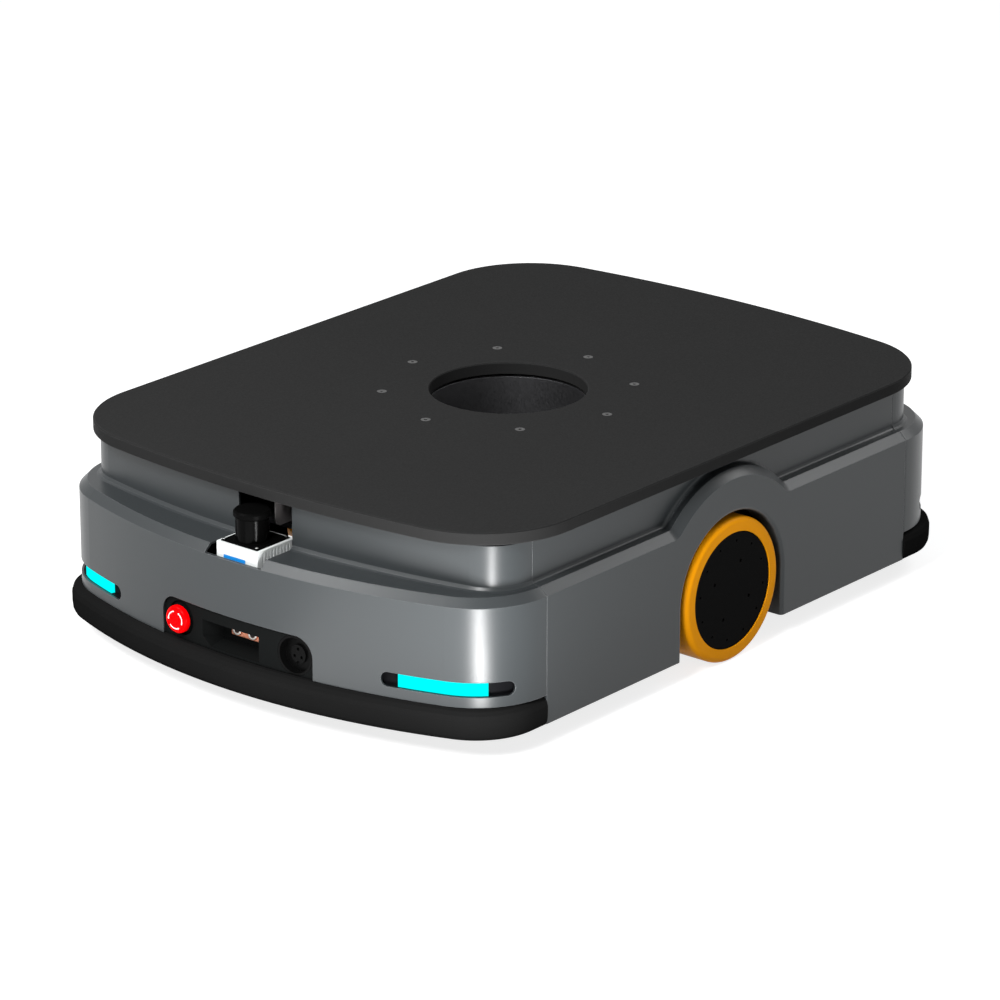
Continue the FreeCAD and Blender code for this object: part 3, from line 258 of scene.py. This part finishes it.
cover_grey, tree, shader = paint_shop("cover_powder_coat", (0.030, 0.034, 0.036), 0.34, sheen=0.30)
tone = noise(tree, 2.5, 2.0)
tree.links.new(two_tone(tree, tone, (0.029, 0.033, 0.035), (0.031, 0.035, 0.037)),
               shader.inputs["Base Color"])
tree.links.new(spread(tree, noise(tree, 700.0), 0.31, 0.37), shader.inputs["Roughness"])
relief(tree, shader, noise(tree, 900.0, 2.0), 0.00002, edge=0.0012)
# Painted highlight: the covers' outermost edges are painted a lighter grey, standing in for light caught
# on them.
paint_edge_highlight(tree, shader, 0.0010, (0.11, 0.115, 0.12))
dress(cover_grey, "cover_left", "cover_right", "cover_front", "cover_rear")

# ---- Bumpers ------------------------------------------------------------------------------------
# Moulded black rubber strips that wrap each end of the robot and are fixed to its bumper beams. The
# rubber is dull, with a faint dusty bloom.
rubber, tree, shader = paint_shop("bumper_rubber", (0.009, 0.009, 0.009), 0.5, sheen=0.0)
tree.links.new(two_tone(tree, noise(tree, 9.0), (0.008, 0.008, 0.008), (0.010, 0.010, 0.010)),
               shader.inputs["Base Color"])
tree.links.new(spread(tree, noise(tree, 300.0), 0.55, 0.7), shader.inputs["Roughness"])
relief(tree, shader, noise(tree, 1500.0, 2.0), 0.00005, edge=0.001)
dress(rubber, "bumper_front", "bumper_rear")

# ---- Load plate ---------------------------------------------------------------------------------
# A thick aluminium plate, hard anodised matte black. Its milled edges and the centre hole's rim
# are painted a lighter grey, a painted highlight.
plate_black, tree, shader = paint_shop("plate_anodised_black", (0.017, 0.017, 0.017), 0.6, sheen=0.02)
tree.links.new(two_tone(tree, noise(tree, 4.0), (0.016, 0.016, 0.016), (0.018, 0.018, 0.018)),
               shader.inputs["Base Color"])
tree.links.new(spread(tree, noise(tree, 500.0), 0.55, 0.68), shader.inputs["Roughness"])
relief(tree, shader, noise(tree, 2200.0, 2.0), 0.00002, edge=0.0008)
# Painted highlight: the plate's outermost edges are painted a lighter grey.
paint_edge_highlight(tree, shader, 0.0008, (0.05, 0.05, 0.05))
dress(plate_black, "load_plate")

screw_steel, tree, shader = paint_shop("screw_blackened_steel", (0.09, 0.09, 0.09), 0.35, 1.0)
tree.links.new(spread(tree, noise(tree, 2500.0), 0.28, 0.45), shader.inputs["Roughness"])
relief(tree, shader, noise(tree, 3000.0), 0.00001, edge=0.0003)
dress(screw_steel, "plate_screws")

# ---- Drive wheels -------------------------------------------------------------------------------
# Cast polyurethane treads in amber orange, bonded to alloy cores under a black cover disc. The disc
# is screwed on and hides the hub's bolts.
amber = (0.90, 0.34, 0.003)
tread_orange, tree, shader = paint_shop("tread_amber_polyurethane", amber, 0.42, sheen=0.04)
tree.links.new(two_tone(tree, noise(tree, 30.0), (0.87, 0.33, 0.002), (0.93, 0.35, 0.004)),
               shader.inputs["Base Color"])
tree.links.new(spread(tree, noise(tree, 900.0), 0.36, 0.5), shader.inputs["Roughness"])
relief(tree, shader, noise(tree, 1300.0, 2.0), 0.00004)
dress(tread_orange, "tyre_left", "tyre_right")

disc_black, tree, shader = paint_shop("wheel_disc_black", (0.003, 0.003, 0.003), 0.5, sheen=0.01)
tree.links.new(spread(tree, noise(tree, 800.0), 0.45, 0.56), shader.inputs["Roughness"])
relief(tree, shader, noise(tree, 1800.0), 0.00002, edge=0.0004)
dress(disc_black, "hub_cap_left", "hub_cap_right")

# ---- Corner lights ------------------------------------------------------------------------------
# Black moulded channels behind the slots, each with a cyan diffuser bar lit from within. They are
# clipped to the inside of the covers at all four corners.
channel_colour = (0.006, 0.006, 0.007)
channel_black, tree, shader = paint_shop("channel_black_moulding", channel_colour, 0.5, sheen=0.02)
relief(tree, shader, noise(tree, 1500.0), 0.00002)
dress(channel_black, "light_housings")

lamp_cyan, tree, shader = paint_shop("diffuser_cyan", (0.0, 0.02, 0.02), 0.6, sheen=0.0)
shader.inputs["Emission Color"].default_value = (0.0, 1.0, 1.0, 1)
shader.inputs["Emission Strength"].default_value = 1.0
relief(tree, shader, noise(tree, 1200.0), 0.00001)
dress(lamp_cyan, "light_bars")

# ---- Control panel ------------------------------------------------------------------------------
# One black moulding behind the front cover, with the stop button's dish, the charging funnel and the
# socket's cup. The socket's insert is pressed in, and the copper block is screwed on from behind.
panel_black, tree, shader = paint_shop("panel_black_moulding", (0.0055, 0.006, 0.006), 0.55, sheen=0.01)
tree.links.new(spread(tree, noise(tree, 1100.0), 0.5, 0.62), shader.inputs["Roughness"])
relief(tree, shader, noise(tree, 2500.0, 2.0), 0.00003, edge=0.0006)
dress(panel_black, "control_panel", "estop_body", "estop_plunger", "camera_body")

socket_black, tree, shader = paint_shop("socket_black_insert", (0.0025, 0.0025, 0.0025), 0.4, sheen=0.03)
relief(tree, shader, noise(tree, 2500.0, 2.0), 0.00002, edge=0.0004)
dress(socket_black, "charge_socket")

copper, tree, shader = paint_shop("contact_copper", (0.72, 0.28, 0.17), 0.35, 1.0)
tree.links.new(two_tone(tree, noise(tree, 400.0), (0.60, 0.20, 0.11), (0.80, 0.36, 0.24)),
               shader.inputs["Base Color"])
tree.links.new(spread(tree, noise(tree, 700.0), 0.25, 0.5), shader.inputs["Roughness"])
relief(tree, shader, noise(tree, 2000.0), 0.00002, edge=0.0004)
dress(copper, "charge_plate")


def solid_piece(name, mesh_parts, made, body):
    """One object from (points, faces) parts, with its finish, carried by a moving body."""
    points, faces = [], []
    for part_points, part_faces in mesh_parts:
        faces += [[len(points) + i for i in face] for face in part_faces]
        points += part_points
    mesh = bpy.data.meshes.new(name)
    mesh.from_pydata(points, [], faces)
    mesh.materials.append(made)
    piece = bpy.data.objects.new(name, mesh)
    bpy.context.scene.collection.objects.link(piece)
    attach(piece, body)
    return piece


def turned(profile, centre, axis, steps=32):
    """Points and faces of a closed turned part from (radius, height) pairs along an axis."""
    side = Vector((0, 0, 1)) if abs(axis[2]) < 0.5 else Vector((1, 0, 0))
    up = Vector(axis).cross(side)
    points = []
    for r, h in profile:
        for k in range(steps):
            a = 2 * pi * k / steps
            spoke = side * (r * cos(a)) + up * (r * sin(a))
            points.append(tuple(Vector(centre) + Vector(axis) * h + spoke))
    faces = []
    for first in range(0, (len(profile) - 1) * steps, steps):
        for k in range(steps):
            after = (k + 1) % steps
            faces.append([first + k, first + after, first + steps + after, first + steps + k])
    last = (len(profile) - 1) * steps
    return points, faces + [list(range(steps - 1, -1, -1)), [last + k for k in range(steps)]]


def turned_ring(profile, centre, axis, steps=32):
    """Points and faces of a turned ring, whose profile closes on itself round the hole."""
    points, faces = turned(profile, centre, axis, steps)
    faces, last = faces[:-2], (len(profile) - 1) * steps
    for k in range(steps):
        after = (k + 1) % steps
        faces.append([last + k, last + after, after, k])
    return points, faces


# Nickel plated rings are pressed on the two round copper contacts, each with a dark oxidised middle.
nickel, tree, shader = paint_shop("contact_nickel", (0.55, 0.53, 0.50), 0.28, 1.0)
relief(tree, shader, noise(tree, 2500.0), 0.00001)
oxide, tree, shader = paint_shop("contact_dark_middle", (0.020, 0.014, 0.012), 0.5, sheen=0.2)
relief(tree, shader, noise(tree, 2500.0), 0.00001)
ring_profile = [(0.0040, 0.0), (0.0066, 0.0), (0.0066, 0.0003), (0.0061, 0.0005), (0.0045, 0.0005),
                (0.0040, 0.0003)]
middle_profile = [(0.0038, 0.0), (0.0038, 0.0002), (0.0030, 0.00035), (0.0010, 0.00035)]
contact_rings, contact_middles = [], []
contact_x, contact_middle_y, contact_z = 0.46722, -0.0105, 0.087
contact_spread = 0.0123
for side_y in (-1, 1):
    place = (contact_x, contact_middle_y + side_y * contact_spread, contact_z)
    contact_rings.append(turned_ring(ring_profile, place, (1, 0, 0)))
    contact_middles.append(turned(middle_profile, place, (1, 0, 0), 24))
solid_piece("charging_contact_rings", contact_rings, nickel, "chassis")
solid_piece("charging_contact_middles", contact_middles, oxide, "chassis")

# ---- Stop button --------------------------------------------------------------------------------
# A glossy red moulded mushroom head that is pushed to stop and twisted to let go. The three arrows
# printed on its face show which way it turns, and turn with it.
stop_red, tree, shader = paint_shop("stop_button_red", (0.93, 0.0, 0.001), 0.3, sheen=0.03)
tree.links.new(spread(tree, noise(tree, 500.0), 0.24, 0.34), shader.inputs["Roughness"])
relief(tree, shader, noise(tree, 900.0), 0.00001)
dress(stop_red, "estop_head")


def arrow_arc(centre, x0, x1, r_in, r_out, start, sweep):
    """Points and faces of a thin curved arrow on an upright face."""
    steps = 12
    outline_in, outline_out = [], []
    for k in range(steps + 1):
        a = start + sweep * k / steps
        outline_in.append((r_in * cos(a), r_in * sin(a)))
        outline_out.append((r_out * cos(a), r_out * sin(a)))
    middle, wide = (r_in + r_out) / 2, (r_out - r_in) * 1.1
    tip = start + sweep + 0.20
    head = [((middle + wide) * cos(start + sweep), (middle + wide) * sin(start + sweep)),
            (middle * cos(tip), middle * sin(tip)),
            ((middle - wide) * cos(start + sweep), (middle - wide) * sin(start + sweep))]
    ring = outline_out + head + outline_in[::-1]
    count = len(ring)
    points = [(x, centre[0] + y, centre[1] + z) for x in (x0, x1) for y, z in ring]
    sides = [[i, (i + 1) % count, count + (i + 1) % count, count + i] for i in range(count)]
    return points, [list(range(count - 1, -1, -1)), list(range(count, 2 * count))] + sides


arrow_white, tree, shader = paint_shop("stop_button_arrow_print", (0.82, 0.78, 0.78), 0.4, sheen=0.1)
relief(tree, shader, noise(tree, 900.0), 0.00001)
head_middle = (-0.092, 0.091)
head_face_x, print_thick = 0.49835, 0.00027
arrows = [arrow_arc(head_middle, head_face_x, head_face_x + print_thick, 0.0100, 0.0114,
                    radians(100 + 120 * k), radians(74)) for k in range(3)]
solid_piece("stop_button_arrows", arrows, arrow_white, "estop_button")

# ---- Scanner ------------------------------------------------------------------------------------
# A small laser scanner: white ribbed housing, black lid and a dark glossy window under a cap. Four
# screws hold the lid, and a plain blue stripe is stuck on the front.
shell_white, tree, shader = paint_shop("scanner_white_shell", (0.70, 0.725, 0.72), 0.45, sheen=0.2)
relief(tree, shader, noise(tree, 1400.0), 0.00002, edge=0.0005)
dress(shell_white, "scanner_base")

window_colour = (0.0015, 0.0015, 0.0015)
window_black, tree, shader = paint_shop("scanner_window_black", window_colour, 0.16, sheen=0.02)
relief(tree, shader, noise(tree, 60.0), 0.00001)
dress(window_black, "scanner_window")


def flat_bar(low, high, fillet):
    """Points and faces of a thin upright block whose four corners are cut off by fillet."""
    (x0, y0, z0), (x1, y1, z1) = low, high
    ring = [(y0 + fillet, z0), (y1 - fillet, z0), (y1, z0 + fillet), (y1, z1 - fillet),
            (y1 - fillet, z1), (y0 + fillet, z1), (y0, z1 - fillet), (y0, z0 + fillet)]
    points = [(x, y, z) for x in (x0, x1) for y, z in ring]
    sides = [[i, (i + 1) % 8, 8 + (i + 1) % 8, 8 + i] for i in range(8)]
    return points, [list(range(7, -1, -1)), list(range(8, 16))] + sides


label_blue, tree, shader = paint_shop("label_blue_print", (0.010, 0.22, 0.62), 0.4, sheen=0.2)
relief(tree, shader, noise(tree, 900.0), 0.00001)
label_low, label_high = (0.48822, -0.0215, 0.1834), (0.48848, 0.0125, 0.1880)
solid_piece("scanner_label", [flat_bar(label_low, label_high, 0.0004)], label_blue, "chassis")

screw_bright, tree, shader = paint_shop("zinc_screw_steel", (0.55, 0.55, 0.55), 0.3, 1.0)
relief(tree, shader, noise(tree, 2500.0), 0.00001)
lid_middle_x, lid_middle_y, lid_top = 0.456, -0.001, 0.2038
lid_screw_spread = 0.02525
screw_profile = [(0.0019, 0), (0.0019, 0.0007), (0.0015, 0.0010), (0.0009, 0.0010), (0.0009, 0.0004)]
lid_screws = []
for side_x in (-1, 1):
    for side_y in (-1, 1):
        place = (lid_middle_x + side_x * lid_screw_spread, lid_middle_y + side_y * lid_screw_spread,
                 lid_top)
        lid_screws.append(turned(screw_profile, place, (0, 0, 1), 20))
solid_piece("scanner_lid_screws", lid_screws, screw_bright, "chassis")

cap_black, tree, shader = paint_shop("scanner_cap_black", (0.002, 0.002, 0.002), 0.35, sheen=0.01)
relief(tree, shader, noise(tree, 1800.0), 0.00002, edge=0.0004)
dress(cap_black, "scanner_covers", "scanner_rotor")

# ---- Chassis and inner works --------------------------------------------------------------------
# Laser-cut steel, black powder coated, with machined steel and alloy parts for what moves. Little of
# it shows: a view down the plate's hole, through the scanner's opening and under the bumpers.
frame_black, tree, shader = paint_shop("frame_black_coat", (0.012, 0.012, 0.013), 0.55, sheen=0.15)
relief(tree, shader, noise(tree, 900.0), 0.00004, edge=0.0008)
dress(frame_black, "chassis_floor", "chassis_frame", "top_deck", "scanner_tray")

sheet_grey, tree, shader = paint_shop("inner_sheet_grey", (0.13, 0.12, 0.12), 0.4, sheen=0.3)
relief(tree, shader, noise(tree, 900.0), 0.00003, edge=0.0008)
dress(sheet_grey, "scanner_bracket")

steel, tree, shader = paint_shop("machined_steel", (0.42, 0.42, 0.43), 0.35, 1.0)
tree.links.new(spread(tree, noise(tree, 900.0), 0.28, 0.45), shader.inputs["Roughness"])
relief(tree, shader, noise(tree, 1500.0), 0.00002, edge=0.0004)
dress(steel, "lift_nut", "lift_pinion", "slew_ring_inner", "slew_ring_balls", "slew_ring_outer",
      "slew_pinion", "spring_left", "spring_right")
dress(steel, *["caster_fork_" + corner for corner in ("fl", "fr", "rl", "rr")])

dark_steel, tree, shader = paint_shop("oiled_dark_steel", (0.12, 0.12, 0.125), 0.42, 1.0)
tree.links.new(spread(tree, noise(tree, 700.0), 0.35, 0.55), shader.inputs["Roughness"])
relief(tree, shader, noise(tree, 1500.0), 0.00002, edge=0.0005)
dress(dark_steel, "guide_column", "nut_housing", "lift_carriage", "arm_left", "arm_right",
      "suspension_brackets")

alloy, tree, shader = paint_shop("cast_alloy", (0.5, 0.5, 0.51), 0.45, 1.0)
tree.links.new(spread(tree, noise(tree, 600.0), 0.38, 0.58), shader.inputs["Roughness"])
relief(tree, shader, noise(tree, 1200.0), 0.00003, edge=0.0006)
dress(alloy, "hub_left", "hub_right", "gearmotor_left", "gearmotor_right", "lift_motor", "slew_motor",
      "controller_box", "battery_pack")

tread_black, tree, shader = paint_shop("caster_black_tread", (0.02, 0.02, 0.02), 0.55, sheen=0.1)
relief(tree, shader, noise(tree, 1200.0), 0.00004, edge=0.0006)
dress(tread_black, *["caster_wheel_" + corner for corner in ("fl", "fr", "rl", "rr")])

# ---- Suspension springs -------------------------------------------------------------------------
# Die springs of flat steel wire, standing between each arm's pad and its post.
def coil(low, high, turns, radius, wide, thick, steps=36):
    """Points and faces of an upright flat-wire spring that fills the height of its box."""
    middle_x, middle_y = (low[0] + high[0]) / 2, (low[1] + high[1]) / 2
    count = int(turns * steps)
    points, faces = [], []
    for k in range(count + 1):
        a = 2 * pi * k / steps
        z = low[2] + thick / 2 + (high[2] - low[2] - thick) * k / count
        for out, up in ((-1, -1), (1, -1), (1, 1), (-1, 1)):
            r = radius + out * wide / 2
            points.append((middle_x + r * cos(a), middle_y + r * sin(a), z + up * thick / 2))
    for k in range(count):
        for i in range(4):
            j = (i + 1) % 4
            faces.append([4 * k + 4 + i, 4 * k + 4 + j, 4 * k + j, 4 * k + i])
    end = 4 * count
    return points, faces + [[0, 1, 2, 3], [end + 3, end + 2, end + 1, end]]


coil_turns, coil_radius = 4.5, 0.0116
wire_wide, wire_thick = 0.0036, 0.0032
for side in ("left", "right"):
    spring_low, spring_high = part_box("spring_" + side)
    coil_points, coil_faces = coil(spring_low, spring_high, coil_turns, coil_radius, wire_wide,
                                   wire_thick)
    coil_mesh = bpy.data.meshes.new("die_spring_" + side)
    coil_mesh.from_pydata(coil_points, [], coil_faces)
    coil_mesh.materials.append(steel)
    die_spring = bpy.data.objects.new("die_spring_" + side, coil_mesh)
    bpy.context.scene.collection.objects.link(die_spring)
    foot = (Vector(spring_low) + Vector(spring_high)) / 2
    foot.z = spring_low[2] + wire_thick
    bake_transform(die_spring)
    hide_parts("spring_" + side)

bpy.context.scene.view_settings.view_transform = "Standard"
